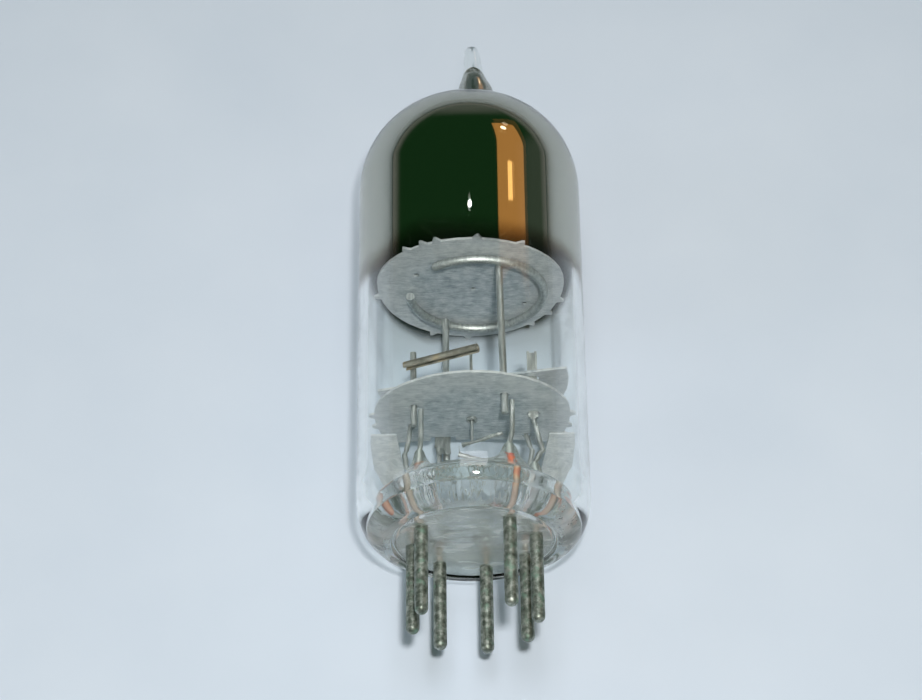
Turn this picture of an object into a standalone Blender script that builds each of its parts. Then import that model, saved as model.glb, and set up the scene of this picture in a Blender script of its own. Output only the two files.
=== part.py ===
"""Seven-pin miniature vacuum tube, lying on its side with its pins towards -Y.

The tube is modelled upright in its own space, along = distance from the base seat towards the tip,
and an empty then lays it down. Places inside it are given as (side, up, along): side is +X and up
is +Z once the tube lies down. The origin is the centre of the base seat.
"""

import math

import bmesh
import bpy
from mathutils import Vector

MM = 0.001
GAP = 0.1 * MM  # clearance between pieces that touch on the real tube
STEPS = 48  # flats round a turned glass piece

# Bulb: a T5 1/2 miniature bulb
BULB_RADIUS = 8.95 * MM
BULB_INNER = 8.2 * MM
DOME_START = 31.0 * MM
DOME_HEIGHT = 8.5 * MM
DOME_POWER = 2.2  # 2 would be a plain ellipse; more gives squarer shoulders
DOME_WALL = 0.8 * MM
TIP_OFFSET = 0.5 * MM  # the tip was sealed off a little to one side
SHOULDER_START = 3.6 * MM

# Seven-pin miniature base
PIN_CIRCLE_RADIUS = 9.525 / 2 * MM
PIN_RADIUS = 1.016 / 2 * MM
PIN_LENGTH = 7.0 * MM
PIN_ROOT = 0.5 * MM  # how far a pin goes up into the glass
PIN_COUNT = 7
PIN_PITCH = 45.0
KEY_ANGLE = -11.5  # middle of the gap where an eighth pin would be

# Seals and leads
SEAL_RADIUS = 0.25 * MM
SEAL_END = 4.95 * MM
LEAD_RADIUS = 0.2 * MM
LEAD_START = 5.05 * MM
HUMP_TOP = 6.1 * MM

# Mount
MICA = 0.2 * MM
UPPER_MICA = 22.3 * MM
MIDDLE_MICA = 13.5 * MM
LOWER_MICA = 10.45 * MM
STEM_MICA = 7.6 * MM
STEM_MICA_TILT = 18.8
RING_RADIUS = 5.35 * MM
RING_WIRE = 0.35 * MM
RING_CENTRE = (0.5 * MM, -0.1 * MM)
ROD_RADIUS = 0.28 * MM
GETTER_ALONG = 13.65  # in mm, as the places inside the mount are
FILM_START = 22.9 * MM


def at(side, up, along):
    """A place in the upright tube, from millimetres."""
    return Vector((side, -up, along)) * MM


def clock(radius, degrees):
    """(side, up) at a clock angle: 0 is up, 90 is +X."""
    angle = math.radians(degrees)
    return radius * math.sin(angle), radius * math.cos(angle)


def clear_scene():
    for obj in list(bpy.data.objects):
        bpy.data.objects.remove(obj, do_unlink=True)


def new_collection(name):
    collection = bpy.data.collections.new(name)
    bpy.context.scene.collection.children.link(collection)
    return collection


def new_material(name, colour, roughness, metallic=0.0, transmission=0.0):
    material = bpy.data.materials.new(name)
    material.use_nodes = True
    shader = material.node_tree.nodes["Principled BSDF"]
    shader.inputs["Base Color"].default_value = (*colour, 1.0)
    shader.inputs["Roughness"].default_value = roughness
    shader.inputs["Metallic"].default_value = metallic
    shader.inputs["Transmission Weight"].default_value = transmission
    material.diffuse_color = (*colour, 1.0)
    return material


clear_scene()
tube = new_collection("vacuum_tube")
cutters = new_collection("cutters")
cutters.hide_render = True

glass = new_material("clear_glass", (0.93, 0.96, 0.96), 0.02, transmission=1.0)
mirror = new_material("getter_mirror", (0.05, 0.055, 0.05), 0.12, metallic=1.0)
mica_sheet = new_material("mica_sheet", (0.56, 0.56, 0.58), 0.35)
nickel = new_material("nickel", (0.42, 0.42, 0.38), 0.35, metallic=1.0)
pin_nickel = new_material("tarnished_pin", (0.36, 0.38, 0.32), 0.42, metallic=1.0)
copper_seal = new_material("copper_seal", (0.80, 0.25, 0.12), 0.4, metallic=1.0)
getter_metal = new_material("getter_metal", (0.30, 0.28, 0.25), 0.4, metallic=1.0)

# The upright tube hangs from this empty, which lays it down: its axis turns from +Z to +Y
tube_axis = bpy.data.objects.new("tube_axis", None)
tube_axis.rotation_euler = (math.radians(-90), 0, 0)
tube.objects.link(tube_axis)


def add(obj, material):
    tube.objects.link(obj)
    obj.parent = tube_axis
    obj.data.materials.append(material)
    return obj


def add_cutter(obj):
    cutters.objects.link(obj)
    obj.parent = tube_axis
    obj.hide_render = True
    obj.display_type = "WIRE"
    return obj


def turned(name, profile, material, steps=STEPS, closed=False, place=(0, 0, 0)):
    """A profile of (radius, along) points, outer side first from the top down, turned round the axis."""
    mesh = bpy.data.meshes.new(name)
    edges = [(i, i + 1) for i in range(len(profile) - 1)]
    if closed:
        edges.append((len(profile) - 1, 0))
    mesh.from_pydata([(radius, 0, along) for radius, along in profile], edges, [])
    obj = add(bpy.data.objects.new(name, mesh), material)
    obj.location = place
    screw = obj.modifiers.new("Turn", "SCREW")
    screw.axis = "Z"
    screw.steps = steps
    screw.render_steps = steps
    screw.use_merge_vertices = True
    screw.merge_threshold = 0.00001
    screw.use_smooth_shade = True
    return obj


def wire(name, points, radius, material, sides=2):
    curve = bpy.data.curves.new(name, "CURVE")
    curve.dimensions = "3D"
    curve.bevel_depth = radius
    curve.bevel_resolution = sides
    curve.use_fill_caps = True
    spline = curve.splines.new("POLY")
    spline.points.add(len(points) - 1)
    for spot, point in zip(spline.points, points):
        spot.co = (*point, 1.0)
    return add(bpy.data.objects.new(name, curve), material)


def plate(name, outlines, thickness, material):
    """A flat outline and its holes, in (side, up), extruded both ways along the object's Z."""
    curve = bpy.data.curves.new(name, "CURVE")
    curve.dimensions = "2D"
    curve.fill_mode = "BOTH"
    curve.extrude = thickness / 2
    for outline in outlines:
        spline = curve.splines.new("POLY")
        spline.points.add(len(outline) - 1)
        spline.use_cyclic_u = True
        for spot, (side, up) in zip(spline.points, outline):
            spot.co = (side, -up, 0, 1.0)
    return add(bpy.data.objects.new(name, curve), material)


def superellipse(radius, height, start, count, power=DOME_POWER):
    """Points of a dome from its top on the axis down to (radius, start)."""
    points = []
    for i in range(count + 1):
        angle = math.radians(90 * (1 - i / count))
        across = abs(math.cos(angle)) ** (2 / power)
        rise = math.sin(angle) ** (2 / power) if i < count else 0.0
        points.append((radius * across if i else 0.0, start + height * rise))
    return points


def shoulder(centre, radii, end_degrees, count):
    """Points of the bulb's lower shoulder, from its widest place down and inwards."""
    points = []
    for i in range(count + 1):
        angle = math.radians(end_degrees * i / count)
        points.append((centre[0] + radii[0] * math.cos(angle), centre[1] - radii[1] * math.sin(angle)))
    return points


def dome_surface(radius):
    """How high the outside of the dome is at this distance from the axis."""
    share = 1 - (radius / BULB_RADIUS) ** DOME_POWER
    return DOME_START + DOME_HEIGHT * share ** (1 / DOME_POWER)


# --- Glass ---


def glass_envelope():
    outer = superellipse(BULB_RADIUS, DOME_HEIGHT, DOME_START, 11)
    outer += shoulder((6.6 * MM, SHOULDER_START), (BULB_RADIUS - 6.6 * MM, SHOULDER_START), 71, 6)
    rim = [(7.15 * MM, 0.3 * MM)]
    inner = shoulder((6.4 * MM, 3.8 * MM), (BULB_INNER - 6.4 * MM, 3.3 * MM), 62, 5)[::-1]
    inner += superellipse(BULB_INNER, DOME_HEIGHT - DOME_WALL, DOME_START, 11)[::-1]
    turned("glass_envelope", outer + rim + inner, glass)


def exhaust_tip():
    outline = [(0, 46.15), (0.3, 46.08), (0.55, 45.8), (0.66, 45.3), (0.73, 44.45), (0.9, 43.25)]
    outline += [(1.12, 42.5), (1.38, 41.8), (1.6, 41.0), (1.85, 40.2), (2.2, 39.6)]
    profile = [(radius * MM, along * MM) for radius, along in outline]
    for radius in (2.2, 1.5, 0.8, 0):
        nearest = max(radius * MM - TIP_OFFSET, 0)
        profile.append((radius * MM, dome_surface(nearest) + GAP))
    turned("exhaust_tip", profile, glass, steps=24, place=(TIP_OFFSET, 0, 0))


def getter_film():
    outer = superellipse(8.1 * MM, 7.6 * MM, DOME_START, 9)
    inner = superellipse(8.0 * MM, 7.5 * MM, DOME_START, 9)
    lip = [(8.1 * MM, FILM_START), (8.0 * MM, FILM_START)]
    turned("getter_film", outer + lip + inner[::-1], mirror)


def lead_cutter(name, radius, start, end):
    mesh = bpy.data.meshes.new(name)
    shape = bmesh.new()
    for number in range(PIN_COUNT):
        made = bmesh.ops.create_cone(
            shape, cap_ends=True, segments=16, radius1=radius, radius2=radius, depth=end - start
        )
        bmesh.ops.translate(shape, verts=made["verts"], vec=pin_place(number, (start + end) / 2))
    shape.to_mesh(mesh)
    shape.free()
    return add_cutter(bpy.data.objects.new(name, mesh))


def pin_place(number, along):
    side, up = clock(PIN_CIRCLE_RADIUS, KEY_ANGLE + PIN_PITCH * (number + 1))
    return Vector((side, -up, along))


def glass_humps():
    """The fillets of glass that climb each lead above the stem's ring."""
    mesh = bpy.data.meshes.new("lead_humps")
    shape = bmesh.new()
    foot = 3.4 * MM
    for number in range(PIN_COUNT):
        made = bmesh.ops.create_cone(
            shape, cap_ends=True, segments=16, radius1=1.55 * MM, radius2=0.62 * MM, depth=HUMP_TOP - foot
        )
        bmesh.ops.translate(shape, verts=made["verts"], vec=pin_place(number, (HUMP_TOP + foot) / 2))
    shape.to_mesh(mesh)
    shape.free()
    return add_cutter(bpy.data.objects.new("lead_humps", mesh))


def button_stem():
    """The pressed glass base: a disc with a raised ring, holed for the pins, seals and leads."""
    top = [(0, 2.6), (2.8, 2.7), (3.4, 3.2), (3.9, 4.0), (4.4, 4.38), (5.1, 4.4), (5.7, 4.1)]
    top += [(6.4, 3.5), (7.1, 3.15), (7.75, 3.05)]
    side = [(7.88, 2.7), (7.85, 2.25), (7.6, 1.7), (7.25, 1.15), (7.05, 0.85)]
    base = [(6.98, 0.25), (6.75, 0.06), (6.2, 0), (3.6, 0), (0, 0)]
    profile = [(radius * MM, along * MM) for radius, along in top + side + base]
    stem = turned("button_stem", profile, glass)
    steps = (
        ("Humps", "UNION", glass_humps()),
        ("Pin holes", "DIFFERENCE", lead_cutter("pin_holes", PIN_RADIUS + GAP, -1 * MM, PIN_ROOT + GAP)),
        ("Seal holes", "DIFFERENCE", lead_cutter("seal_holes", SEAL_RADIUS + GAP, PIN_ROOT / 2, 8 * MM)),
    )
    for name, operation, cutter in steps:
        boolean = stem.modifiers.new(name, "BOOLEAN")
        boolean.operation = operation
        boolean.solver = "EXACT"
        boolean.object = cutter


# --- Pins, seals and leads ---


def pins():
    tip = -PIN_LENGTH
    bend = [(0, 0), (0.45, 0.07), (0.8, 0.32), (1.0, 0.75)]  # rounded end, in pin radii
    profile = [(0, PIN_ROOT), (PIN_RADIUS, PIN_ROOT)]
    profile += [(across * PIN_RADIUS, tip + rise * PIN_RADIUS) for across, rise in bend[::-1]]
    first = turned("pin_1", profile, pin_nickel, steps=16, place=pin_place(0, 0))
    for number in range(1, PIN_COUNT):
        copy = first.copy()
        copy.name = f"pin_{number + 1}"
        copy.location = pin_place(number, 0)
        tube.objects.link(copy)


def seal_wires():
    for number in range(PIN_COUNT):
        ends = [pin_place(number, PIN_ROOT + GAP), pin_place(number, SEAL_END)]
        wire(f"seal_wire_{number + 1}", ends, SEAL_RADIUS, copper_seal)


# Route of each inner lead above its hump, as (side, up, along) in mm
LEAD_ROUTES = (
    ((2.9, 4.0, 7.2), (2.95, 4.0, 9.9)),
    ((4.67, 0.95, 6.2), (5.3, 0.95, 7.0), (4.95, 0.95, 8.8), (4.67, 0.95, 9.85)),
    ((3.97, -2.63, 6.2), (4.65, -2.63, 8.4), (4.15, -2.63, 11.2)),
    ((0.95, -4.67, 9.0), (0.75, -4.67, 9.25), (-1.1, -4.62, 9.8)),
    ((-2.67, -3.97, 9.9),),
    ((-4.67, -0.95, 6.2), (-5.25, -0.95, 7.0), (-4.95, -0.95, 9.4), (-4.7, -0.95, 11.8)),
    ((-3.92, 2.6, 7.5), (-3.9, 2.6, 9.9)),
)


def inner_leads():
    for number, route in enumerate(LEAD_ROUTES):
        points = [pin_place(number, LEAD_START), pin_place(number, HUMP_TOP)]
        points += [at(*spot) for spot in route]
        wire(f"inner_lead_{number + 1}", points, LEAD_RADIUS, nickel)


# --- Micas ---


def apart(first, second):
    """How many degrees lie between two clock angles."""
    return abs((first - second + 180) % 360 - 180)


def disc_outline(radius, teeth=(), reach=0.55, chords=(), step=7.5):
    """A round sheet with pointed teeth and straight cuts, as (side, up) points going clockwise.

    teeth are clock angles; a chord is (clock angle of its middle, distance from the centre).
    """
    angles = [step * i for i in range(int(360 / step))]
    points = [(angle, radius) for angle in angles if all(apart(angle, t) > 4.5 for t in teeth)]
    for tooth in teeth:
        points += [(tooth % 360, radius + reach * MM)]
        points += [((tooth + side) % 360, radius) for side in (-3.6, 3.6)]
    for middle, distance in chords:
        half = math.degrees(math.acos(distance / radius))
        points = [p for p in points if apart(p[0], middle) > half + 0.5]
        points += [((middle - half) % 360, radius), ((middle + half) % 360, radius)]
    return [clock(r, angle) for angle, r in sorted(points)]


def hole(side, up, radius, sides=10):
    centre = (side * MM, up * MM)
    spots = [clock(radius * MM, 360 * i / sides) for i in range(sides)]
    return [(centre[0] + across, centre[1] + rise) for across, rise in spots]


def upper_mica():
    teeth = (-40, -28.5, -20, 3.6, 29.7, 104, 120.5, 136.7, 181.6, 204.5, 262)
    holes = [hole(*spot, 0.14) for spot in ((-4.24, 2.22), (0.2, 0.0), (4.4, -2.33))]
    sheet = plate("upper_mica", [disc_outline(7.45 * MM, teeth), *holes], MICA, mica_sheet)
    sheet.location = (0, 0, UPPER_MICA)


def middle_mica():
    outline = disc_outline(7.55 * MM, chords=((-13, 0.974 * MM), (180, 5.2 * MM)))
    holes = [hole(-2.05, -4.1, 0.42), hole(4.67, 0.95, 0.58), hole(-0.05, 0.3, 0.24)]
    sheet = plate("middle_mica", [outline, *holes], MICA, mica_sheet)
    sheet.location = (0, 0, MIDDLE_MICA)


def lower_mica():
    cut = -3.6
    outline = disc_outline(7.6 * MM, (-97, -84, 83, 97, 108), 0.5, chords=((180, -cut * MM),))
    notch = [(-1.3, cut), (-1.3, -2.9), (-3.3, -2.9), (-3.3, cut)]
    start = min(i for i, (side, up) in enumerate(outline) if abs(up - cut * MM) < 1e-6 and side > 0)
    outline[start + 1 : start + 1] = [(side * MM, up * MM) for side, up in notch]
    spots = [(2.38, 4.02, 0.4), (4.67, 0.95, 0.55), (4.3, -2.63, 0.4), (-4.8, -0.95, 0.4)]
    spots += [(-4.45, 2.2, 0.4), (-0.05, 0.3, 0.24)]
    sheet = plate("lower_mica", [outline, *[hole(*spot) for spot in spots]], MICA, mica_sheet)
    sheet.location = (0, 0, LOWER_MICA)


def stem_mica():
    """The sheet that leans between the lower mica and the stem: a U whose two arms stand up."""
    radius = 7.9
    arm_top = 1.9
    arc = [p for p in disc_outline(radius * MM, step=6) if p[1] < arm_top * MM]
    right = [p for p in arc if p[0] >= 0]
    left = [p for p in arc if p[0] < 0]
    corner = math.degrees(math.acos(arm_top / radius))
    notch = [(-5.8, arm_top), (-5.2, -3.2), (-3.0, -6.0), (3.0, -6.0), (5.2, -3.2), (5.8, arm_top)]
    notch = [(side * MM, up * MM) for side, up in notch]
    outline = [clock(radius * MM, corner)] + right + left + [clock(radius * MM, -corner)] + notch
    sheet = plate("stem_mica", [outline], MICA, mica_sheet)
    sheet.location = (0, 0, STEM_MICA)
    sheet.rotation_euler = (math.radians(-STEM_MICA_TILT), 0, 0)


# --- Electrode and getter ---


def ring_electrode():
    along = UPPER_MICA - MICA / 2 - GAP - RING_WIRE
    start, end, count = -38, 268, 38
    points = []
    for i in range(count + 1):
        side, up = clock(RING_RADIUS, start + (end - start) * i / count)
        points.append(Vector((side + RING_CENTRE[0], -(up + RING_CENTRE[1]), along)))
    wire("ring_electrode", points, RING_WIRE, nickel, sides=3)


def support_rods():
    wire("support_rod_1", [at(2.4, 4.0, 8.8), at(2.15, 4.22, 21.6)], ROD_RADIUS, nickel)
    wire("support_rod_2", [at(-2.05, -4.1, 8.9), at(-2.05, -4.08, 21.6)], ROD_RADIUS, nickel)


def getter():
    """A folded channel with its filling, welded across the top of its post."""
    left, right = at(-5.1, 2.75, GETTER_ALONG), at(0.4, 5.5, GETTER_ALONG)
    length = (right - left).length
    opening = 80
    outer = [clock(0.36 * MM, opening / 2 + (360 - opening) * i / 12) for i in range(13)]
    inner = [clock(0.24 * MM, opening / 2 + (360 - opening) * i / 12) for i in range(13)]
    bar = plate("getter_bar", [outer + inner[::-1]], length, getter_metal)
    bar.location = (left + right) / 2
    bar.rotation_mode = "QUATERNION"
    bar.rotation_quaternion = (right - left).to_track_quat("Z", "Y")
    inset = (right - left).normalized() * 0.3 * MM
    wire("getter_filling", [left + inset, right - inset], 0.15 * MM, getter_metal)
    wire("getter_post", [at(-4.45, 2.2, 8.7), at(-4.5, 2.25, 15.1)], 0.24 * MM, nickel)


def small_parts():
    channel = [(-0.38, -0.2), (-0.38, 0.2), (-0.2, 0.2), (-0.2, -0.04), (0.2, -0.04), (0.2, 0.2)]
    channel += [(0.38, 0.2), (0.38, -0.2)]
    outline = [(side * MM, up * MM) for side, up in channel]
    post = plate("tab_post", [outline], 5.8 * MM, nickel)
    post.location = at(4.67, 0.95, 12.9)
    fold = [(-0.62, 0.1), (-0.3, -0.06), (0, 0.12), (0.3, -0.06), (0.62, 0.1)]
    under = [(side, up - 0.16) for side, up in fold[::-1]]
    strap = plate("weld_strap", [[(side * MM, up * MM) for side, up in fold + under]], 2.1 * MM, nickel)
    strap.location = at(-2.33, -3.5, 10.35)
    wire("centre_wire", [at(-0.05, 0.3, 8.2), at(-0.05, 0.3, 16.6)], 0.12 * MM, nickel)
    ring = [(0.42, 10.3), (0.42, 10.12), (0.24, 10.12), (0.24, 10.3)]
    profile = [(radius * MM, along * MM) for radius, along in ring]
    turned("centre_eyelet", profile, nickel, steps=16, closed=True, place=at(-0.05, 0.3, 0))
    jumper = [at(2.2, 3.38, 7.4), at(1.2, 2.95, 7.25), at(0.2, 2.4, 7.05), at(-0.8, 1.95, 6.95)]
    wire("cut_jumper", jumper, 0.17 * MM, nickel)


glass_envelope()
exhaust_tip()
getter_film()
button_stem()
pins()
seal_wires()
inner_leads()
upper_mica()
middle_mica()
lower_mica()
stem_mica()
ring_electrode()
support_rods()
getter()
small_parts()
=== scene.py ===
import math
import random

import bmesh
import bpy
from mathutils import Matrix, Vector


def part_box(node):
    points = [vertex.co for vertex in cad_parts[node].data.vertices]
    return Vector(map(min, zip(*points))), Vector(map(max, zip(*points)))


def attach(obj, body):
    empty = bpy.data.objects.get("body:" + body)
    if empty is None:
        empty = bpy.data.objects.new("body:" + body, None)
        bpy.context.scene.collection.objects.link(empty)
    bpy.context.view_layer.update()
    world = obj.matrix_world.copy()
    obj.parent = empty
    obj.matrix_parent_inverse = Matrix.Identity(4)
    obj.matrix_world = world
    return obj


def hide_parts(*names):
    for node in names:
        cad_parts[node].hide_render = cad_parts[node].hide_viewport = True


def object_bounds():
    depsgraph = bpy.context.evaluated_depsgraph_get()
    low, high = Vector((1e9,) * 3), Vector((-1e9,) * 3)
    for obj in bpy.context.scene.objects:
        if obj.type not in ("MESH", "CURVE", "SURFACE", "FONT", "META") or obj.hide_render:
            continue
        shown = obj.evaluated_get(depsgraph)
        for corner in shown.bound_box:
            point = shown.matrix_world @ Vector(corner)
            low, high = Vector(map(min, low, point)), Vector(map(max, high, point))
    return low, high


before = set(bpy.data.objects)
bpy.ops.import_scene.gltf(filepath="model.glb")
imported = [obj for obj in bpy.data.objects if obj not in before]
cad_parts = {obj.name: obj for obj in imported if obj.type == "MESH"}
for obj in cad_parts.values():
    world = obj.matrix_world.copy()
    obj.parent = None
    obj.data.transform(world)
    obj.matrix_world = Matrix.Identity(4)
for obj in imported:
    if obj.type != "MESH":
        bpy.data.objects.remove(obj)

# A seven-pin miniature vacuum tube lying on its side. Its axis is +Y: the pins point to -Y and the
# exhaust tip to +Y. Places inside it are (side, up, along) in millimetres: side is +X, up is +Z.
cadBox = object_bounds()
mm = 0.001
tubeRadius = (cadBox[1].x - cadBox[0].x) / 2 / mm
pinCentres = {}
for number in range(1, 8):
    low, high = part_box(f"pin_{number}")
    pinCentres[number] = ((low.x + high.x) / 2 / mm, (low.z + high.z) / 2 / mm)
print("frame loaded, bulb radius", round(tubeRadius, 2), "mm")


def place(side, up, along):
    return Vector((side, along, up)) * mm


def hexColour(code):
    # sRGB hex to linear
    parts = []
    for start in (0, 2, 4):
        value = int(code[start:start + 2], 16) / 255
        parts.append(value / 12.92 if value <= 0.04045 else ((value + 0.055) / 1.055) ** 2.4)
    return (*parts, 1.0)


def addNode(tree, kind, inputs=None, **settings):
    node = tree.nodes.new(kind)
    for name, value in settings.items():
        setattr(node, name, value)
    for socket, value in (inputs or {}).items():
        if isinstance(value, bpy.types.NodeSocket):
            tree.links.new(value, node.inputs[socket])
        else:
            node.inputs[socket].default_value = value
    return node


def makeCamera():
    settings = {
        "place": Vector((-1.888, -83.965, 175.93)) * mm,
        "target": Vector((-0.819, 16.794, 0)) * mm,
        "lens": 100.54,
        "sensor": 36,
    }
    data = bpy.data.cameras.new("camera")
    data.lens = settings["lens"]
    data.sensor_width = settings["sensor"]
    data.clip_start = 0.01
    camera = bpy.data.objects.new("camera", data)
    camera.location = settings["place"]
    camera.rotation_euler = (settings["target"] - settings["place"]).to_track_quat("-Z", "Y").to_euler()
    bpy.context.scene.collection.objects.link(camera)
    bpy.context.scene.camera = camera


def addLamp(name, spot, target, size, power, colour):
    data = bpy.data.lights.new(name, "AREA")
    data.shape = "ELLIPSE" if name.endswith("Lamp") else "RECTANGLE"
    data.size, data.size_y = size[0] * mm, size[1] * mm
    data.energy = power
    data.color = hexColour(colour)[:3]
    lamp = bpy.data.objects.new(name, data)
    lamp.location = Vector(spot) * mm
    lamp.rotation_euler = (Vector(target) - Vector(spot)).to_track_quat("-Z", "Y").to_euler()
    bpy.context.scene.collection.objects.link(lamp)
    return lamp


def lightStudio():
    aim = (0, 22, 0)
    # name: place, size, power, colour
    lamps = {
        "keyLamp": ((9, -66, 196), (16, 16), 0.305, "FFFDF8"),  # small key beside the camera
        "softBox": ((0, 55, 490), (220, 220), 0.70, "F7FAFF"),
        "windowCard": ((-430, -20, 200), (200, 260), 0.24, "F0F4FF"),
        "ceilingLamp": ((-2, 367, 534), (34, 1.6), 0.0027, "F4FAFF"),
    }
    for name, (spot, size, power, colour) in lamps.items():
        lamp = addLamp(name, spot, aim, size, power, colour)
        # the wide ones light through the glass by shadow rays alone, so no card shows inside the bulb
        lamp.visible_transmission = name.endswith("Lamp")
    # warm strips that run along the tube, seen in the getter's mirror as one band with a bright core
    # name: degrees round the axis, reach from it, place along it, width, length, power, colour
    strips = {
        "warmCard": (45.5, 350, 375, 192, 290, 0.110, "FFAC5C"),
        "warmStreak": (44.2, 345, 251, 30, 11, 0.0018, "FFC478"),
        "shadeLamp": (43.5, 345, 425, 44, 60, 0.026, "FFE9C4"),
    }
    for name, (around, reach, along, width, length, power, colour) in strips.items():
        angle = math.radians(around)
        spot = (reach * math.sin(angle), along, reach * math.cos(angle))
        lamp = addLamp(name, spot, (0, along, 0), (width, length), power, colour)
        lamp.rotation_euler = (0, angle, 0)
    hangRoom()
    bpy.context.scene.view_settings.view_transform = "Standard"


def hangRoom():
    # a dim room: dark overhead, paler down at the horizon and to the right
    world = bpy.data.worlds.new("dimRoom")
    world.use_nodes = True
    tree = world.node_tree
    background = tree.nodes["Background"]
    towards = addNode(tree, "ShaderNodeTexCoord").outputs["Generated"]
    split = addNode(tree, "ShaderNodeSeparateXYZ", {0: towards})
    # share of the paler light by how low, how far right and how far back a direction points
    shares = {"Z": (0.0, 0.16, 1.0, 0.0), "X": (0.62, 0.8, 0.0, 0.28), "Y": (0.9, 0.985, 0.0, 0.6)}
    total = 0.0
    for axis, (start, end, first, last) in shares.items():
        part = addNode(tree, "ShaderNodeMapRange", {
            "Value": split.outputs[axis], "From Min": start, "From Max": end,
            "To Min": first, "To Max": last}, interpolation_type="SMOOTHSTEP")
        larger = addNode(tree, "ShaderNodeMath", {0: total, 1: part.outputs[0]}, operation="MAXIMUM")
        total = larger.outputs[0]
    colour = addNode(tree, "ShaderNodeMix", {
        0: total, 6: hexColour("1C3C20"), 7: hexColour("7A7D78")}, data_type="RGBA")
    tree.links.new(colour.outputs[2], background.inputs["Color"])
    background.inputs["Strength"].default_value = 0.9
    bpy.context.scene.world = world


def layFloor(material):
    half = 0.9  # metres
    mesh = bpy.data.meshes.new("paper_floor")
    corners = [(-half, -half), (half, -half), (half, half), (-half, half)]
    mesh.from_pydata([(x, y, cadBox[0].z) for x, y in corners], [], [(0, 1, 2, 3)])
    floor = bpy.data.objects.new("paper_floor", mesh)
    bpy.context.scene.collection.objects.link(floor)
    floor.data.materials.append(material)


def startMaterial(name):
    material = bpy.data.materials.new(name)
    material.use_nodes = True
    tree = material.node_tree
    return material, tree, tree.nodes["Principled BSDF"], tree.nodes["Material Output"]


def setShader(shader, **values):
    for name, value in values.items():
        shader.inputs[name.replace("_", " ")].default_value = value


def letLampsThrough(tree, shader, output, tint):
    # lamps light straight through the glass, dimmed where they graze it, so it casts thin edge lines
    paths = addNode(tree, "ShaderNodeLightPath")
    grazing = addNode(tree, "ShaderNodeLayerWeight", {"Blend": 0.5})
    passed = ramp(tree, grazing.outputs["Facing"], ((0.66, tint), (0.92, "545C60")))
    clear = addNode(tree, "ShaderNodeBsdfTransparent", {"Color": passed})
    shaded = addNode(tree, "ShaderNodeMixShader", {
        0: paths.outputs["Is Shadow Ray"], 1: shader.outputs[0], 2: clear.outputs[0]})
    calm = addNode(tree, "ShaderNodeMixShader", {
        0: paths.outputs["Is Diffuse Ray"], 1: shaded.outputs[0], 2: clear.outputs[0]})
    tree.links.new(calm.outputs[0], output.inputs["Surface"])


def objectPlace(tree):
    return addNode(tree, "ShaderNodeTexCoord").outputs["Object"]


def ramp(tree, factor, stops):
    node = addNode(tree, "ShaderNodeValToRGB", {0: factor})
    elements = node.color_ramp.elements
    while len(elements) < len(stops):
        elements.new(0.5)
    for element, (position, colour) in zip(elements, stops):
        element.position = position
        element.color = hexColour(colour) if isinstance(colour, str) else (colour, colour, colour, 1)
    return node.outputs[0]


def sodaGlass():
    # Blown soda-lime glass, fire polished: clear, faintly grey, with the slow waves of a drawn tube
    material, tree, shader, output = startMaterial("soda_glass")
    setShader(shader, Base_Color=hexColour("FCFEFD"), Roughness=0.0, IOR=1.51, Transmission_Weight=1.0)
    # waves about 6 mm long
    waves = addNode(tree, "ShaderNodeTexNoise", {
        "Vector": objectPlace(tree), "Scale": 160.0, "Detail": 1.0})
    bump = addNode(tree, "ShaderNodeBump", {
        "Height": waves.outputs["Fac"], "Strength": 0.05, "Distance": 0.0003})
    tree.links.new(bump.outputs[0], shader.inputs["Normal"])
    letLampsThrough(tree, shader, output, "FDFEFE")
    return material


def pressedGlass():
    # The same glass where the mould pressed the base: a matt face with drag lines that scatters light
    settings = {"rough": 0.16, "haze": 0.32}
    material, tree, shader, output = startMaterial("pressed_glass")
    setShader(shader, Base_Color=hexColour("F4F6F4"), Roughness=settings["rough"], IOR=1.51,
              Transmission_Weight=1.0)
    here = objectPlace(tree)
    drawn = addNode(tree, "ShaderNodeMapping", {"Vector": here, "Scale": (0.3, 1.0, 1.0)})
    # drag lines about 0.8 mm apart
    lines = addNode(tree, "ShaderNodeTexNoise", {
        "Vector": drawn.outputs[0], "Scale": 1250.0, "Detail": 6.0, "Roughness": 0.65})
    bump = addNode(tree, "ShaderNodeBump", {
        "Height": lines.outputs["Fac"], "Strength": 0.7, "Distance": 0.00016})
    tree.links.new(bump.outputs[0], shader.inputs["Normal"])
    tone = ramp(tree, lines.outputs["Fac"], ((0.38, "5F655E"), (0.5, "AEB2AA"), (0.6, "E4E8E4")))
    bloom = addNode(tree, "ShaderNodeBsdfDiffuse", {"Color": tone, "Normal": bump.outputs[0]})
    hazy = addNode(tree, "ShaderNodeMixShader", {
        0: settings["haze"], 1: shader.outputs[0], 2: bloom.outputs[0]})
    letLampsThrough(tree, hazy, output, "E8ECEA")
    return material


def mouldedGlass():
    # The upper face of the button stem: chilled by the mould, lumpy and faintly milky
    settings = {"rough": 0.03, "haze": 0.10}
    material, tree, shader, output = startMaterial("moulded_glass")
    setShader(shader, Base_Color=hexColour("F4F7F5"), Roughness=settings["rough"], IOR=1.51,
              Transmission_Weight=1.0)
    here = objectPlace(tree)
    # lumps about 1.2 mm across
    lumps = addNode(tree, "ShaderNodeTexNoise", {
        "Vector": here, "Scale": 850.0, "Detail": 4.0, "Roughness": 0.55})
    bump = addNode(tree, "ShaderNodeBump", {
        "Height": lumps.outputs["Fac"], "Strength": 0.8, "Distance": 0.0004})
    tree.links.new(bump.outputs[0], shader.inputs["Normal"])
    milk = addNode(tree, "ShaderNodeBsdfDiffuse", {"Color": hexColour("C9CFCB")})
    hazy = addNode(tree, "ShaderNodeMixShader", {
        0: settings["haze"], 1: shader.outputs[0], 2: milk.outputs[0]})
    letLampsThrough(tree, hazy, output, "ECF0EE")
    return material


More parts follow.
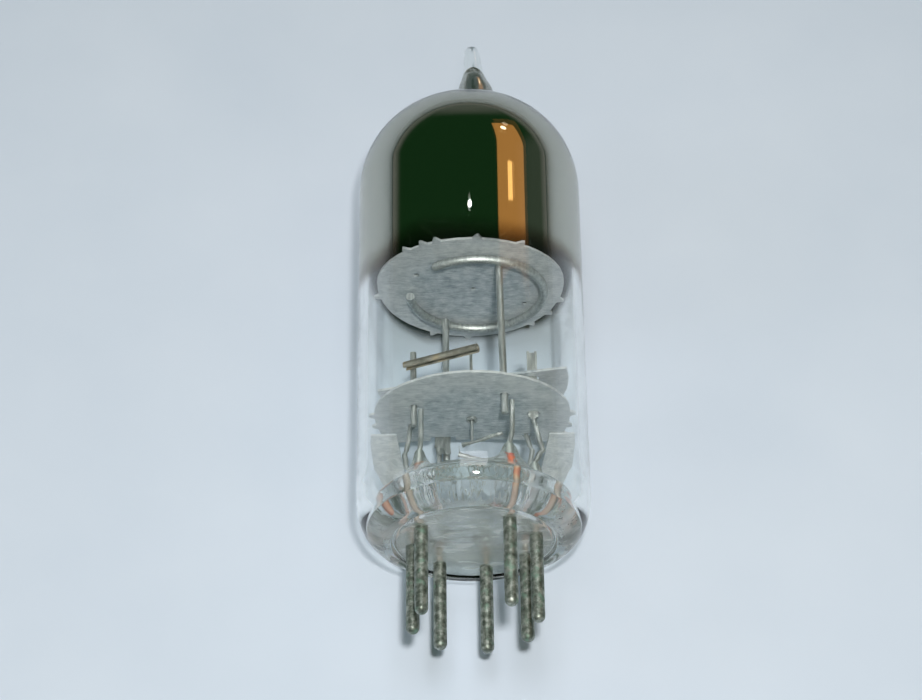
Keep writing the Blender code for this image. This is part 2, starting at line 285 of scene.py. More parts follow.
def bariumMirror():
    # Barium getter flashed on the glass: a dark metal mirror that thins to brown and grey at its edge
    settings = {"edge": (22.9, 25.6), "wander": 2.6, "tip": (39.4, 40.8), "tipCover": 0.4}
    material, tree, shader, output = startMaterial("getter_mirror")
    setShader(shader, Base_Color=hexColour("BFBDB4"), Metallic=1.0, Roughness=0.05)
    here = objectPlace(tree)
    split = addNode(tree, "ShaderNodeSeparateXYZ", {0: here})
    # grain about 1 mm across, and blotches of 8 mm that make the edge wander
    grain = addNode(tree, "ShaderNodeTexNoise", {"Vector": here, "Scale": 900.0, "Detail": 4.0})
    blotch = addNode(tree, "ShaderNodeTexNoise", {"Vector": here, "Scale": 130.0, "Detail": 2.0})
    wander = addNode(tree, "ShaderNodeMath", {
        0: blotch.outputs["Fac"], 1: settings["wander"] * mm, 2: split.outputs["Y"]},
        operation="MULTIPLY_ADD")
    cover = addNode(tree, "ShaderNodeMapRange", {
        "Value": wander.outputs[0], "From Min": settings["edge"][0] * mm,
        "From Max": settings["edge"][1] * mm}, interpolation_type="SMOOTHSTEP")
    speckle = addNode(tree, "ShaderNodeMapRange", {
        "Value": grain.outputs["Fac"], "From Min": 0.3, "From Max": 0.7, "To Min": 0.0, "To Max": 0.02})
    tree.links.new(speckle.outputs[0], shader.inputs["Roughness"])
    tint = ramp(tree, cover.outputs[0], ((0.0, "8A7460"), (0.55, "A79F90"), (1.0, "BDBCB2")))
    tree.links.new(tint, shader.inputs["Base Color"])
    clear = addNode(tree, "ShaderNodeBsdfTransparent")
    # the flash hardly reached into the tip
    thin = addNode(tree, "ShaderNodeMapRange", {
        "Value": split.outputs["Y"], "From Min": settings["tip"][0] * mm,
        "From Max": settings["tip"][1] * mm, "To Min": 1.0, "To Max": settings["tipCover"]})
    share = addNode(tree, "ShaderNodeMath", {0: cover.outputs[0], 1: thin.outputs[0]},
                    operation="MULTIPLY")
    mixed = addNode(tree, "ShaderNodeMixShader", {
        0: share.outputs[0], 1: clear.outputs[0], 2: shader.outputs[0]})
    tree.links.new(mixed.outputs[0], output.inputs["Surface"])
    return material


def splitMica():
    # Muscovite mica split to 0.2 mm: silvery sheets, bluer and darker in the middle and pale at the rim,
    # with fine scratches from the splitting knife
    settings = {"middle": 3.5, "rim": 6.6, "cover": 0.86}
    material, tree, shader, output = startMaterial("mica_sheet")
    here = objectPlace(tree)
    # clouds about 0.7 mm across
    cloud = addNode(tree, "ShaderNodeTexNoise", {"Vector": here, "Scale": 1500.0, "Detail": 6.0})
    # scratches run along X, about 0.15 mm apart
    drawn = addNode(tree, "ShaderNodeMapping", {"Vector": here, "Scale": (0.25, 1.0, 1.0)})
    scratch = addNode(tree, "ShaderNodeTexNoise", {
        "Vector": drawn.outputs[0], "Scale": 7000.0, "Detail": 4.0, "Roughness": 0.7})
    tone = addNode(tree, "ShaderNodeMix", {
        "Factor": 0.6, "A": cloud.outputs["Fac"], "B": scratch.outputs["Fac"]})
    middle = ramp(tree, tone.outputs[0], ((0.36, "97A0AA"), (0.5, "BFC8CE"), (0.62, "DFE3E6")))
    edge = ramp(tree, tone.outputs[0], ((0.36, "B4BABF"), (0.5, "D2D6D9"), (0.62, "E6E8E9")))
    split = addNode(tree, "ShaderNodeSeparateXYZ", {0: here})
    flat = addNode(tree, "ShaderNodeCombineXYZ", {0: split.outputs["X"], 1: 0.0, 2: split.outputs["Z"]})
    reach = addNode(tree, "ShaderNodeVectorMath", {0: flat.outputs[0]}, operation="LENGTH")
    rim = addNode(tree, "ShaderNodeMapRange", {
        "Value": reach.outputs["Value"], "From Min": settings["middle"] * mm,
        "From Max": settings["rim"] * mm}, interpolation_type="SMOOTHSTEP")
    colour = addNode(tree, "ShaderNodeMix", {0: rim.outputs[0], 6: middle, 7: edge}, data_type="RGBA")
    tree.links.new(colour.outputs[2], shader.inputs["Base Color"])
    setShader(shader, Roughness=0.35, IOR=1.58)
    bump = addNode(tree, "ShaderNodeBump", {
        "Height": tone.outputs[0], "Strength": 0.4, "Distance": 0.00005})
    tree.links.new(bump.outputs[0], shader.inputs["Normal"])
    clear = addNode(tree, "ShaderNodeBsdfTransparent", {"Color": hexColour("E6E8EA")})
    mixed = addNode(tree, "ShaderNodeMixShader", {
        0: settings["cover"], 1: clear.outputs[0], 2: shader.outputs[0]})
    tree.links.new(mixed.outputs[0], output.inputs["Surface"])
    return material


def drawnNickel():
    # Drawn nickel wire after firing: dull grey metal with lengthwise die marks
    material, tree, shader, _ = startMaterial("drawn_nickel")
    here = objectPlace(tree)
    marks = addNode(tree, "ShaderNodeMapping", {"Vector": here, "Scale": (1.0, 0.12, 1.0)})
    # die marks about 0.2 mm apart
    streaks = addNode(tree, "ShaderNodeTexNoise", {
        "Vector": marks.outputs[0], "Scale": 5000.0, "Detail": 3.0})
    colour = ramp(tree, streaks.outputs["Fac"], ((0.3, "9A9E9D"), (0.6, "BABEBC"), (0.75, "D4D6D4")))
    tree.links.new(colour, shader.inputs["Base Color"])
    rough = addNode(tree, "ShaderNodeMapRange", {
        "Value": streaks.outputs["Fac"], "To Min": 0.32, "To Max": 0.55})
    tree.links.new(rough.outputs[0], shader.inputs["Roughness"])
    setShader(shader, Metallic=0.8)
    return material


def tarnishedPin():
    # Nickel-iron pin left in damp air: dull grey-green metal, paler where a socket rubbed it
    material, tree, shader, _ = startMaterial("tarnished_pin")
    here = objectPlace(tree)
    # stains about 0.5 mm across
    patch = addNode(tree, "ShaderNodeTexNoise", {
        "Vector": here, "Scale": 2100.0, "Detail": 6.0, "Roughness": 0.65})
    # green salts in spots of 0.6 mm
    salt = addNode(tree, "ShaderNodeTexNoise", {"Vector": here, "Scale": 1700.0, "Detail": 4.0})
    metal = ramp(tree, patch.outputs["Fac"], ((0.36, "575F55"), (0.5, "80877E"), (0.62, "ADB1A9")))
    green = ramp(tree, salt.outputs["Fac"], ((0.55, 0.0), (0.75, 0.8)))
    colour = addNode(tree, "ShaderNodeMix", {
        0: green, 6: metal, 7: hexColour("6F9480")}, data_type="RGBA")
    tree.links.new(colour.outputs[2], shader.inputs["Base Color"])
    dull = addNode(tree, "ShaderNodeMapRange", {"Value": green, "To Min": 0.75, "To Max": 0.1})
    tree.links.new(dull.outputs[0], shader.inputs["Metallic"])
    rough = addNode(tree, "ShaderNodeMapRange", {
        "Value": salt.outputs["Fac"], "To Min": 0.3, "To Max": 0.65})
    tree.links.new(rough.outputs[0], shader.inputs["Roughness"])
    bump = addNode(tree, "ShaderNodeBump", {
        "Height": salt.outputs["Fac"], "Strength": 0.4, "Distance": 0.00004})
    tree.links.new(bump.outputs[0], shader.inputs["Normal"])
    return material


def boratedCopper(name, skin, fadeFrom):
    # Copper-clad seal wire under its borate skin: orange near the top of the glass, dull grey below
    fadeLength = 1.2
    material, tree, shader, _ = startMaterial(name)
    here = objectPlace(tree)
    cloud = addNode(tree, "ShaderNodeTexNoise", {"Vector": here, "Scale": 1100.0, "Detail": 3.0})
    bright = ramp(tree, cloud.outputs["Fac"], ((0.35, skin[0]), (0.55, skin[1]), (0.7, skin[2])))
    split = addNode(tree, "ShaderNodeSeparateXYZ", {0: here})
    height = addNode(tree, "ShaderNodeMapRange", {
        "Value": split.outputs["Y"], "From Min": fadeFrom * mm,
        "From Max": (fadeFrom + fadeLength) * mm, "To Min": 0.1})
    colour = addNode(tree, "ShaderNodeMix", {
        0: height.outputs[0], 6: hexColour("AAA59D"), 7: bright}, data_type="RGBA")
    tree.links.new(colour.outputs[2], shader.inputs["Base Color"])
    setShader(shader, Metallic=0.2, Roughness=0.4)
    return material


def getterSteel():
    # Nickel-plated steel channel, heat-blued by the getter's flash; its brown-tan patches are partly real
    # heat browning and partly a painted reflection of the warm lamps
    material, tree, shader, _ = startMaterial("getter_steel")
    here = objectPlace(tree)
    heatAndWarmReflection = addNode(tree, "ShaderNodeTexNoise", {"Vector": here, "Scale": 600.0, "Detail": 4.0})
    # painted reflection: the tan end of this ramp stands in for warm light reflected off the channel, mixed
    # with real heat tint
    colour = ramp(tree, heatAndWarmReflection.outputs["Fac"], ((0.3, "75726A"), (0.5, "A8A498"), (0.7, "C2AC8E")))
    tree.links.new(colour, shader.inputs["Base Color"])
    setShader(shader, Metallic=0.7, Roughness=0.45)
    return material


def plainPaper():
    # Matt white paper with a faint tooth
    material, tree, shader, _ = startMaterial("plain_paper")
    here = objectPlace(tree)
    # clouds about 17 mm across, because the real tooth is too fine to show
    tooth = addNode(tree, "ShaderNodeTexNoise", {"Vector": here, "Scale": 60.0, "Detail": 4.0})
    colour = ramp(tree, tooth.outputs["Fac"], ((0.3, "D4DEED"), (0.7, "DAE3F1")))
    tree.links.new(colour, shader.inputs["Base Color"])
    setShader(shader, Roughness=0.9)
    return material


def addPiece(name, mesh, material, slot, *nodes):
    piece = bpy.data.objects.new(name, mesh)
    bpy.context.scene.collection.objects.link(piece)
    mesh.materials.clear()
    mesh.materials.append(material)
    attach(piece, "root")
    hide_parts(*nodes)
    return piece


def smoothPath(points, spacing):
    # a Catmull-Rom curve through the points
    result = []
    spots = [Vector(p) for p in points]
    for i in range(len(spots) - 1):
        before = spots[i - 1] if i else spots[i] * 2 - spots[i + 1]
        after = spots[i + 2] if i + 2 < len(spots) else spots[i + 1] * 2 - spots[i]
        count = max(1, round((spots[i + 1] - spots[i]).length / spacing))
        for step in range(count):
            t = step / count
            a, b, c, d = before, spots[i], spots[i + 1], after
            result.append(0.5 * (2 * b + (c - a) * t + (2 * a - 5 * b + 4 * c - d) * t * t
                                 + (3 * b - a - 3 * c + d) * t ** 3))
    result.append(spots[-1])
    return result


def turnAbout(shape, profile, steps, bend=None):
    # spins (radius, along) pairs about the tube axis; bend moves each spot afterwards
    rings = []
    for radius, along in profile:
        if radius < 1e-4:
            spot = bend(0, 0, along) if bend else (0, 0, along)
            rings.append([shape.verts.new(place(*spot))])
            continue
        ring = []
        for i in range(steps):
            angle = 2 * math.pi * i / steps
            spot = (radius * math.sin(angle), radius * math.cos(angle), along)
            ring.append(shape.verts.new(place(*(bend(*spot) if bend else spot))))
        rings.append(ring)
    for first, second in zip(rings, rings[1:]):
        for i in range(steps):
            j = (i + 1) % steps
            if len(first) == 1:
                shape.faces.new((first[0], second[i], second[j]))
            elif len(second) == 1:
                shape.faces.new((second[0], first[j], first[i]))
            else:
                shape.faces.new((second[i], second[j], first[j], first[i]))


def finishMesh(shape, name, sharp=60):
    mesh = bpy.data.meshes.new(name)
    shape.to_mesh(mesh)
    shape.free()
    mesh.shade_smooth()
    mesh.set_sharp_from_angle(angle=math.radians(sharp))
    return mesh


def superellipse(radius, height, start, count, power=2.2):
    points = []
    for i in range(count + 1):
        angle = math.radians(90 * (1 - i / count))
        across = abs(math.cos(angle)) ** (2 / power)
        rise = math.sin(angle) ** (2 / power) if i < count else 0.0
        points.append((radius * across if i else 0.0, start + height * rise))
    return points


# the glass that climbs each lead, and the button's edge, past which it lies flat
humps = {"rise": 1.75, "top": 0.3, "flare": 0.72, "reach": 3.4, "below": 4.6, "edge": 7.2, "blend": 0.5}
# the sealed-off tip, pulled to one side by the flame, with a bulge on that side
tipLean = {"from": 38.9, "edge": 2.9, "blend": 1.2, "drift": 0.62, "straighten": 0.045, "above": 40.5,
           "bulge": 0.16, "bulgeAt": 41.6}


def humpRise(side, up):
    rise = 0.0
    for x, z in pinCentres.values():
        distance = math.hypot(side - x, up - z)
        if distance < humps["reach"]:
            slope = math.exp(-max(0.0, distance - humps["top"]) / humps["flare"])
            rise = max(rise, humps["rise"] * slope * (1 - (distance / humps["reach"]) ** 2))
    return rise


def leanTip(side, up, along):
    if along <= tipLean["from"]:
        return side, up, along
    radius = math.hypot(side, up)
    share = max(0.0, min(1.0, (tipLean["edge"] - radius) / tipLean["blend"]))
    share = share * share * (3 - 2 * share)
    drift = tipLean["drift"] - tipLean["straighten"] * max(0.0, along - tipLean["above"])
    facing = max(0.0, side) / max(radius, 0.1)
    bulge = tipLean["bulge"] * math.exp(-((along - tipLean["bulgeAt"]) / 1.0) ** 2) * facing
    return side + share * (drift + bulge), up, along


def raiseStem(side, up, along):
    radius = math.hypot(side, up)
    if along < humps["below"] and radius < humps["edge"]:
        edge = max(0.0, min(1.0, (humps["edge"] - radius) / humps["blend"]))
        return side, up, along + humpRise(side, up) * edge
    return leanTip(side, up, along)


def blowGlass(material, pressed, moulded):
    # profiles are (radius, along) in millimetres
    settings = {
        "steps": 232, "wall": 0.75, "wallRows": 26, "domeStart": 31.0, "domeRise": 8.5, "domeWall": 0.8,
        "domeRows": 48, "tipRadius": 2.6, "tipBore": 1.7, "shoulderEnd": 6.6, "shoulderRise": 3.6,
        "shoulderTurn": 72, "shoulderRows": 18, "pressedFace": 6.25, "mouldedFace": 7.3,
        "mouldedSpan": (2.0, 7.0),
    }
    tip = [(0, 46.15), (0.3, 46.08), (0.55, 45.8), (0.66, 45.3), (0.73, 44.45), (0.9, 43.25)]
    tip += [(1.12, 42.5), (1.34, 41.8), (1.48, 41.0), (1.62, 40.2), (1.9, 39.65), (2.35, 39.36)]
    dome = superellipse(tubeRadius, settings["domeRise"], settings["domeStart"], settings["domeRows"])
    outer = smoothPath(tip, 0.12) + [Vector(p) for p in dome if p[0] > settings["tipRadius"]]
    outer += [Vector((tubeRadius, settings["domeStart"] - 1 - i)) for i in range(settings["wallRows"])]
    end, rise = settings["shoulderEnd"], settings["shoulderRise"]
    for i in range(settings["shoulderRows"] + 1):
        angle = math.radians(settings["shoulderTurn"] * i / settings["shoulderRows"])
        outer.append(Vector((end + (tubeRadius - end) * math.cos(angle), rise - rise * math.sin(angle))))
    outer += smoothPath([outer[-1], (7.05, 0.06), (6.75, 0.0), (6.4, 0.0)], 0.12)[1:]
    # the mould's joint line around the seat
    outer += smoothPath([(6.3, 0.0), (6.2, 0.1), (6.08, 0.16), (5.96, 0.1), (5.86, 0.0)], 0.05)
    outer += [Vector((radius, 0.0)) for radius in (5.4, 4.6, 3.6, 2.4, 1.2, 0)]
    shape = bmesh.new()
    turnAbout(shape, outer, settings["steps"], leanTip)

    bore = tubeRadius - settings["wall"]
    wallFoot = 4.2
    # the button's upper face, then the narrow groove between it and the bulb's wall
    stem = [(0, 2.6), (1.4, 2.62), (2.8, 2.7), (3.4, 3.2), (3.9, 4.0), (4.4, 4.38), (5.1, 4.4)]
    stem += [(5.7, 4.1), (6.4, 3.6), (7.1, 3.2), (7.6, 2.9), (7.74, 2.5), (7.7, 1.9), (7.68, 1.5)]
    stem += [(7.78, 1.75), (7.98, 2.5), (8.12, 3.2), (bore, wallFoot)]
    inner = smoothPath(stem, 0.11)
    inner += [Vector((bore, wallFoot + 1 + i)) for i in range(settings["wallRows"])]
    hollowRise = settings["domeRise"] - settings["domeWall"]
    hollow = superellipse(bore, hollowRise, settings["domeStart"], settings["domeRows"])
    inner += [Vector(p) for p in hollow[::-1] if p[0] > settings["tipBore"]]
    inner += smoothPath([(1.5, 38.75), (1.1, 39.1), (0.95, 39.9), (0.9, 40.9), (0.75, 42.0), (0.5, 43.0),
                         (0.25, 43.6), (0, 43.8)], 0.15)
    turnAbout(shape, inner, settings["steps"], raiseStem)

    mesh = finishMesh(shape, "fused_glass")
    piece = addPiece("fused_glass", mesh, material, "clear_glass",
                     "glass_envelope", "button_stem", "exhaust_tip")
    mesh.materials.append(pressed)
    mesh.materials.append(moulded)
    low, high = settings["mouldedSpan"]
    for face in mesh.polygons:
        centre = face.center / mm
        radius = math.hypot(centre.x, centre.z)
        if centre.y < 0.01 and radius < settings["pressedFace"]:
            face.material_index = 1
        elif low < centre.y < high and radius < settings["mouldedFace"]:
            face.material_index = 2
    return piece


def flashGetter(material):
    # embedded just under the inner wall, so that the mirror is in contact with the glass
    settings = {"steps": 160, "domeStart": 31.0, "domeRows": 48, "tipBore": 1.7, "rows": 12, "row": 0.8}
    # radius, rise of its dome, its way into the tip
    skins = (
        (8.26, 7.76, [(0, 43.9), (0.32, 43.65), (0.57, 43.05), (0.82, 42.0), (0.97, 40.9), (1.02, 39.95),
                      (1.17, 39.2)]),
        (8.23, 7.73, [(0, 43.86), (0.3, 43.62), (0.54, 43.03), (0.79, 42.0), (0.94, 40.9), (0.99, 39.93),
                      (1.14, 39.17)]),
    )
    outlines = []
    for radius, rise, tip in skins:
        dome = superellipse(radius, rise, settings["domeStart"], settings["domeRows"])
        outline = smoothPath(tip, 0.2) + [Vector(p) for p in dome if p[0] > settings["tipBore"]]
        outline += [Vector((radius, settings["domeStart"] - i * settings["row"]))
                    for i in range(1, settings["rows"] + 1)]
        outlines.append(outline)
    outer, inner = outlines
    shape = bmesh.new()
    turnAbout(shape, outer + inner[::-1], settings["steps"], leanTip)
    mesh = finishMesh(shape, "getter_film")
    return addPiece("getter_film", mesh, material, "getter_mirror", "getter_film")


def startTree(name, sizes):
    tree = bpy.data.node_groups.new(name, "GeometryNodeTree")
    tree.interface.new_socket("Geometry", in_out="INPUT", socket_type="NodeSocketGeometry")
    for label, kind in sizes.items():
        tree.interface.new_socket(label, in_out="INPUT", socket_type=kind)
    tree.interface.new_socket("Geometry", in_out="OUTPUT", socket_type="NodeSocketGeometry")
    return tree, tree.nodes.new("NodeGroupInput").outputs, tree.nodes.new("NodeGroupOutput").inputs


def runTree(name, mesh, tree, values):
    worker = bpy.data.objects.new(name, mesh)
    bpy.context.scene.collection.objects.link(worker)
    modifier = worker.modifiers.new(tree.name, "NODES")
    modifier.node_group = tree
    for item in tree.interface.items_tree:
        if item.in_out == "INPUT" and item.name in values:
            modifier[item.identifier] = values[item.name]
    ready = worker.evaluated_get(bpy.context.evaluated_depsgraph_get())
    made = bpy.data.meshes.new_from_object(ready)
    bpy.data.objects.remove(worker, do_unlink=True)
    made.name = name
    made.shade_smooth()
    made.set_sharp_from_angle(angle=math.radians(40))
    return made


def dressTree(tree, skin, material, made):
    whole = addNode(tree, "GeometryNodeRealizeInstances", {0: skin.outputs[0]})
    dressed = addNode(tree, "GeometryNodeSetMaterial", {"Geometry": whole.outputs[0], "Material": material})
    tree.links.new(dressed.outputs[0], made["Geometry"])
    return tree


def wireTree():
    tree, given, made = startTree("bent_wire", {
        "Radius": "NodeSocketFloat", "Bend Radius": "NodeSocketFloat", "Sides": "NodeSocketInt",
        "Metal": "NodeSocketMaterial"})
    path = addNode(tree, "GeometryNodeMeshToCurve", {0: given["Geometry"]})
    bent = addNode(tree, "GeometryNodeFilletCurve", {
        "Curve": path.outputs[0], "Count": 7, "Radius": given["Bend Radius"],
        "Limit Radius": True}, mode="POLY")
    ring = addNode(tree, "GeometryNodeCurvePrimitiveCircle", {
        "Resolution": given["Sides"], "Radius": given["Radius"]})
    skin = addNode(tree, "GeometryNodeCurveToMesh", {
        "Curve": bent.outputs[0], "Profile Curve": ring.outputs[0], "Fill Caps": True})
    return dressTree(tree, skin, given["Metal"], made)


def pinTree():
    # a straight pin whose end is rounded as a half ball
    settings = {"points": 160, "sides": 32, "bluntest": 0.02}
    tree, given, made = startTree("rounded_pin", {
        "Radius": "NodeSocketFloat", "Top": "NodeSocketFloat", "Tip": "NodeSocketFloat",
        "Side": "NodeSocketFloat", "Up": "NodeSocketFloat", "Metal": "NodeSocketMaterial"})
    top = addNode(tree, "ShaderNodeCombineXYZ", {0: given["Side"], 1: given["Top"], 2: given["Up"]})
    tip = addNode(tree, "ShaderNodeCombineXYZ", {0: given["Side"], 1: given["Tip"], 2: given["Up"]})
    line = addNode(tree, "GeometryNodeCurvePrimitiveLine", {
        "Start": top.outputs[0], "End": tip.outputs[0]})
    fine = addNode(tree, "GeometryNodeResampleCurve", {
        "Curve": line.outputs[0], "Count": settings["points"]})
    spot = addNode(tree, "GeometryNodeInputPosition")
    parts = addNode(tree, "ShaderNodeSeparateXYZ", {0: spot.outputs[0]})
    fromTip = addNode(tree, "ShaderNodeMath", {
        0: parts.outputs[1], 1: given["Tip"]}, operation="SUBTRACT")
    share = addNode(tree, "ShaderNodeMath", {
        0: fromTip.outputs[0], 1: given["Radius"]}, operation="DIVIDE", use_clamp=True)
    inward = addNode(tree, "ShaderNodeMath", {0: 1.0, 1: share.outputs[0]}, operation="SUBTRACT")
    square = addNode(tree, "ShaderNodeMath", {0: inward.outputs[0], 1: 2.0}, operation="POWER")
    left = addNode(tree, "ShaderNodeMath", {0: 1.0, 1: square.outputs[0]}, operation="SUBTRACT")
    width = addNode(tree, "ShaderNodeMath", {0: left.outputs[0]}, operation="SQRT")
    # never quite a point, so that the cap closes
    blunt = addNode(tree, "ShaderNodeMath", {
        0: width.outputs[0], 1: settings["bluntest"]}, operation="MAXIMUM")
    shaped = addNode(tree, "GeometryNodeSetCurveRadius", {
        "Curve": fine.outputs[0], "Radius": blunt.outputs[0]})
    ring = addNode(tree, "GeometryNodeCurvePrimitiveCircle", {
        "Resolution": settings["sides"], "Radius": given["Radius"]})
    skin = addNode(tree, "GeometryNodeCurveToMesh", {
        "Curve": shaped.outputs[0], "Profile Curve": ring.outputs[0], "Fill Caps": True})
    if "Scale" in skin.inputs:
        tree.links.new(blunt.outputs[0], skin.inputs["Scale"])
    return dressTree(tree, skin, given["Metal"], made)


def pathMesh(name, points):
    mesh = bpy.data.meshes.new(name)
    edges = [(i, i + 1) for i in range(len(points) - 1)]
    mesh.from_pydata([place(*p) for p in points], edges, [])
    return mesh


def drawWire(name, tree, points, radius, material, slot="nickel", bend=0):
    sides = 20
    values = {"Radius": radius * mm, "Bend Radius": bend * mm, "Sides": sides, "Metal": material}
    mesh = runTree(name, pathMesh(name, points), tree, values)
    return addPiece(name, mesh, material, slot, name)


def setPins(tree, material):
    rootDepth = 0.5  # how far each pin goes into the glass
    for number, (side, up) in pinCentres.items():
        name = f"pin_{number}"
        low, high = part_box(name)
        values = {"Radius": (high.x - low.x) / 2, "Top": rootDepth * mm, "Tip": low.y, "Side": side * mm,
                  "Up": up * mm, "Metal": material}
        mesh = runTree(name, bpy.data.meshes.new(name), tree, values)
        addPiece(name, mesh, material, "tarnished_pin", name)


def setSeals(tree):
    settings = {"radius": 0.22, "from": 0.5, "to": 5.0}
    # the first seal's skin is copper colour with a painted glow: its pale orange stands in for the warm
    # lamps' reflection. The other seals get a duller skin
    copperAndPaintedGlow = boratedCopper("copper_seal", ("C8482C", "EE6C30", "FFBE78"), 2.9)
    dullSeal = boratedCopper("dull_seal", ("A06A5C", "B8806C", "CBA894"), 3.6)
    for number, (side, up) in pinCentres.items():
        ends = [(side, up, settings["from"]), (side, up, settings["to"])]
        material = copperAndPaintedGlow if number == 1 else dullSeal
        drawWire(f"seal_wire_{number}", tree, ends, settings["radius"], material, "copper_seal")


# the way of each lead above the button, in (side, up, along)
leadRoutes = {
    1: ((2.9, 4.0, 7.2), (2.95, 4.0, 9.9)),
    2: ((4.67, 0.95, 6.2), (5.3, 0.95, 7.0), (4.95, 0.95, 8.8), (4.67, 0.95, 9.85)),
    3: ((3.97, -2.63, 6.2), (4.65, -2.63, 8.4), (4.15, -2.63, 11.2)),
    4: ((0.95, -4.67, 9.0), (0.75, -4.67, 9.25), (-1.1, -4.62, 9.8)),
    5: ((-2.67, -3.97, 9.9),),
    6: ((-4.67, -0.95, 6.2), (-5.25, -0.95, 7.0), (-4.95, -0.95, 9.4), (-4.7, -0.95, 11.8)),
    7: ((-3.92, 2.6, 7.5), (-3.9, 2.6, 9.9)),
}


def setWires(tree, material):
    lead = {"radius": 0.2, "bend": 0.6, "from": 4.95, "straightTo": 6.1}
    for number, route in leadRoutes.items():
        side, up = pinCentres[number]
        points = [(side, up, lead["from"]), (side, up, lead["straightTo"]), *route]
        drawWire(f"inner_lead_{number}", tree, points, lead["radius"], material, bend=lead["bend"])
    rods = {
        "support_rod_1": (0.28, ((2.4, 4.0, 8.8), (2.15, 4.22, 21.75))),
        "support_rod_2": (0.28, ((-2.05, -4.1, 8.9), (-2.05, -4.08, 21.75))),
        "getter_post": (0.24, ((-4.45, 2.2, 8.7), (-4.5, 2.25, 15.1))),
        "centre_wire": (0.12, ((-0.05, 0.3, 8.2), (-0.05, 0.3, 16.6))),
    }
    for name, (radius, points) in rods.items():
        drawWire(name, tree, points, radius, material)
    jumper = ((2.2, 3.38, 7.4), (1.2, 2.95, 7.25), (0.2, 2.4, 7.05), (-0.8, 1.95, 6.95))
    drawWire("cut_jumper", tree, jumper, 0.17, material, bend=0.5)
    ring = {"radius": 5.35, "side": 0.5, "up": -0.1, "from": -38, "to": 268, "along": 21.75,
            "wire": 0.35, "pieces": 72}
    points = []
    for i in range(ring["pieces"] + 1):
        angle = math.radians(ring["from"] + (ring["to"] - ring["from"]) * i / ring["pieces"])
        points.append((ring["side"] + ring["radius"] * math.sin(angle),
                       ring["up"] + ring["radius"] * math.cos(angle), ring["along"]))
    drawWire("ring_electrode", tree, points, ring["wire"], material)


def apart(first, second):
    return abs((first - second + 180) % 360 - 180)


def toothedOutline(radius, teeth=(), reach=0.55, chords=(), seed=1):
    # a circle cut by hand, with snipped teeth at the given degrees and straight cuts across it;
    # each chord is the direction of its middle and its distance from the centre
    settings = {"step": 2.4, "clear": 3.4, "wobble": (-0.025, 0.02), "root": (-2.9, 2.7),
                "crown": (-0.7, 0.6), "shortest": 0.75}
    chance = random.Random(seed)
    points = []
    angle = 0.0
    while angle < 360:
        if all(apart(angle, tooth) > settings["clear"] for tooth in teeth):
            points.append((angle, radius + chance.uniform(*settings["wobble"])))
        angle += settings["step"]
    for tooth in teeth:
        points.append(((tooth + settings["root"][0]) % 360, radius))
        points.append(((tooth + settings["crown"][0]) % 360,
                       radius + reach * chance.uniform(settings["shortest"], 1.0)))
        points.append(((tooth + settings["crown"][1]) % 360, radius + reach))
        points.append(((tooth + settings["root"][1]) % 360, radius))
    for middle, distance in chords:
        half = math.degrees(math.acos(distance / radius))
        points = [p for p in points if apart(p[0], middle) > half + 0.3]
        points += [((middle - half) % 360, radius), ((middle + half) % 360, radius)]
    return [(r * math.sin(math.radians(a)), r * math.cos(math.radians(a))) for a, r in sorted(points)]


def roundHole(side, up, radius):
    return [(side + radius * math.sin(math.pi * i / 10), up + radius * math.cos(math.pi * i / 10))
            for i in range(20)]


def sheetTree():
    tree, given, made = startTree("mica_sheet", {
        "Thickness": "NodeSocketFloat", "Mica": "NodeSocketMaterial"})
    path = addNode(tree, "GeometryNodeMeshToCurve", {0: given["Geometry"]})
    filled = addNode(tree, "GeometryNodeFillCurve", {0: path.outputs[0]})
    thick = addNode(tree, "GeometryNodeExtrudeMesh", {
        "Mesh": filled.outputs[0], "Offset Scale": given["Thickness"], "Individual": False})
    under = addNode(tree, "GeometryNodeFlipFaces", {0: filled.outputs[0]})
    both = addNode(tree, "GeometryNodeJoinGeometry", {0: thick.outputs[0]})
    tree.links.new(under.outputs[0], both.inputs[0])
    welded = addNode(tree, "GeometryNodeMergeByDistance", {
        "Geometry": both.outputs[0], "Distance": 0.001 * mm})
    return dressTree(tree, welded, given["Mica"], made)


def cutMica(name, tree, outlines, along, material, tilt=0.0):
    thickness = 0.2
    mesh = bpy.data.meshes.new(name)
    spots, edges = [], []
    for outline in outlines:
        first = len(spots)
        count = len(outline)
        spots += [(side * mm, up * mm, 0) for side, up in outline]
        edges += [(first + i, first + (i + 1) % count) for i in range(count)]
    mesh.from_pydata(spots, edges, [])
    made = runTree(name, mesh, tree, {"Thickness": thickness * mm, "Mica": material})
    # stands the sheet up across the tube, leaning by tilt
    lean = math.radians(tilt)
    for vertex in made.vertices:
        side, up, depth = vertex.co.x, vertex.co.y, vertex.co.z - thickness / 2 * mm
        height = along * mm + up * math.sin(lean) - depth * math.cos(lean)
        vertex.co = (side, height, up * math.cos(lean) + depth * math.sin(lean))
    return addPiece(name, made, material, "mica_sheet", name)


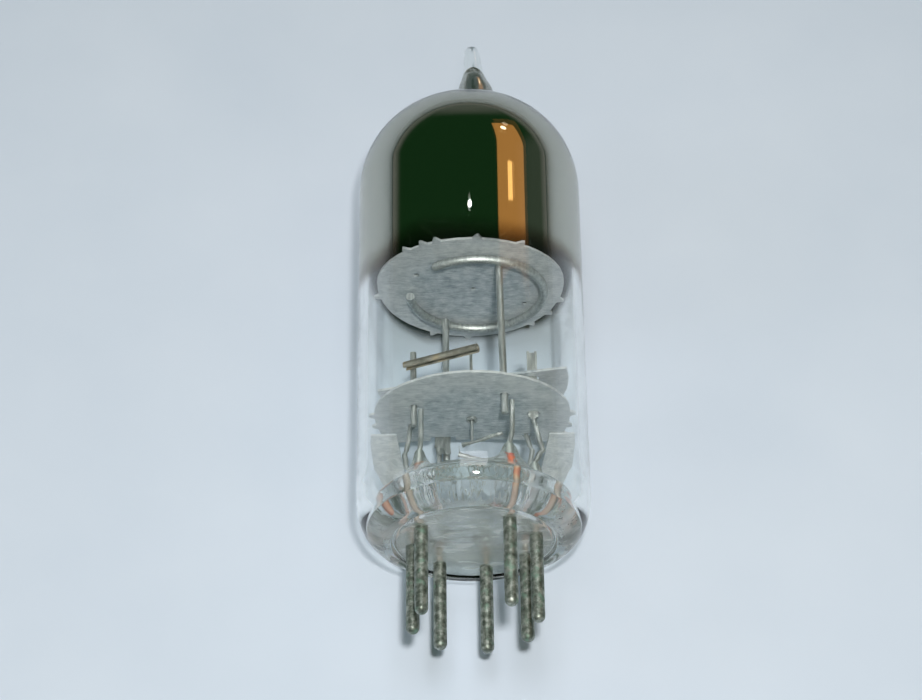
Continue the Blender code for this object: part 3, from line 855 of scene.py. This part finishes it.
def setMicas(tree, material):
    # radius, place along the tube, teeth in degrees, holes as (side, up, radius)
    upper = {
        "radius": 7.45, "along": 22.3,
        "teeth": (-40, -28.5, -20, 3.6, 29.7, 104, 120.5, 136.7, 181.6, 204.5, 262),
        "holes": ((-4.24, 2.22, 0.24), (0.2, 0.0, 0.24), (4.4, -2.33, 0.24)),
    }
    middle = {
        "radius": 7.55, "along": 13.5, "chords": ((-13, 0.974), (180, 5.2)),
        "holes": ((-2.05, -4.1, 0.42), (4.67, 0.95, 0.58), (-0.05, 0.3, 0.24)),
    }
    lower = {
        "radius": 7.6, "along": 10.45, "teeth": (-97, -84, 83, 97, 108), "reach": 0.5, "cut": -3.6,
        "notch": (-1.3, -3.3, -2.9),
        "holes": ((2.38, 4.02, 0.4), (4.67, 0.95, 0.55), (4.3, -2.63, 0.4), (-4.8, -0.95, 0.4),
                  (-4.45, 2.2, 0.4), (-0.05, 0.3, 0.24)),
    }
    stem = {
        "radius": 7.9, "along": 7.6, "tilt": 18.8, "armTop": 1.9,
        "inside": ((-5.8, 1.9), (-5.2, -3.2), (-3.0, -6.0), (3.0, -6.0), (5.2, -3.2), (5.8, 1.9)),
    }

    def cutDisc(name, rim, sizes):
        holes = [roundHole(*hole) for hole in sizes["holes"]]
        cutMica(name, tree, [rim, *holes], sizes["along"], material)

    cutDisc("upper_mica", toothedOutline(upper["radius"], upper["teeth"], seed=3), upper)
    cutDisc("middle_mica", toothedOutline(middle["radius"], chords=middle["chords"], seed=5), middle)

    cut = lower["cut"]
    rim = toothedOutline(lower["radius"], lower["teeth"], lower["reach"], ((180, -cut),), seed=7)
    start = min(i for i, (side, up) in enumerate(rim) if abs(up - cut) < 1e-4 and side > 0)
    right, left, top = lower["notch"]
    rim[start + 1:start + 1] = [(right, cut), (right, top), (left, top), (left, cut)]
    cutDisc("lower_mica", rim, lower)

    # the stem mica is a U: the disc's lower part, with its arms cut off level
    armTop = stem["armTop"]
    armEnd = stem["radius"] * math.sin(math.acos(armTop / stem["radius"]))
    edge = [p for p in toothedOutline(stem["radius"], seed=9) if p[1] < armTop]
    right = [p for p in edge if p[0] >= 0]
    left = [p for p in edge if p[0] < 0]
    outline = [(armEnd, armTop), *right, *left, (-armEnd, armTop), *stem["inside"]]
    cutMica("stem_mica", tree, [outline], stem["along"], material, stem["tilt"])


makeCamera()
layFloor(plainPaper())
lightStudio()
print("studio ready")

blowGlass(sodaGlass(), pressedGlass(), mouldedGlass())
flashGetter(bariumMirror())
print("glass and getter film blown")

nickel = drawnNickel()
wires = wireTree()
setPins(pinTree(), tarnishedPin())
setSeals(wires)
setWires(wires, nickel)
print("pins, seals and wires set")

setMicas(sheetTree(), splitMica())
print("micas cut")

steel = getterSteel()
for name, material in (("getter_bar", steel), ("getter_filling", steel), ("tab_post", nickel),
                       ("weld_strap", nickel), ("centre_eyelet", nickel)):
    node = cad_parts[name]
    for slot in node.material_slots:
        slot.material = material
print("small parts finished")
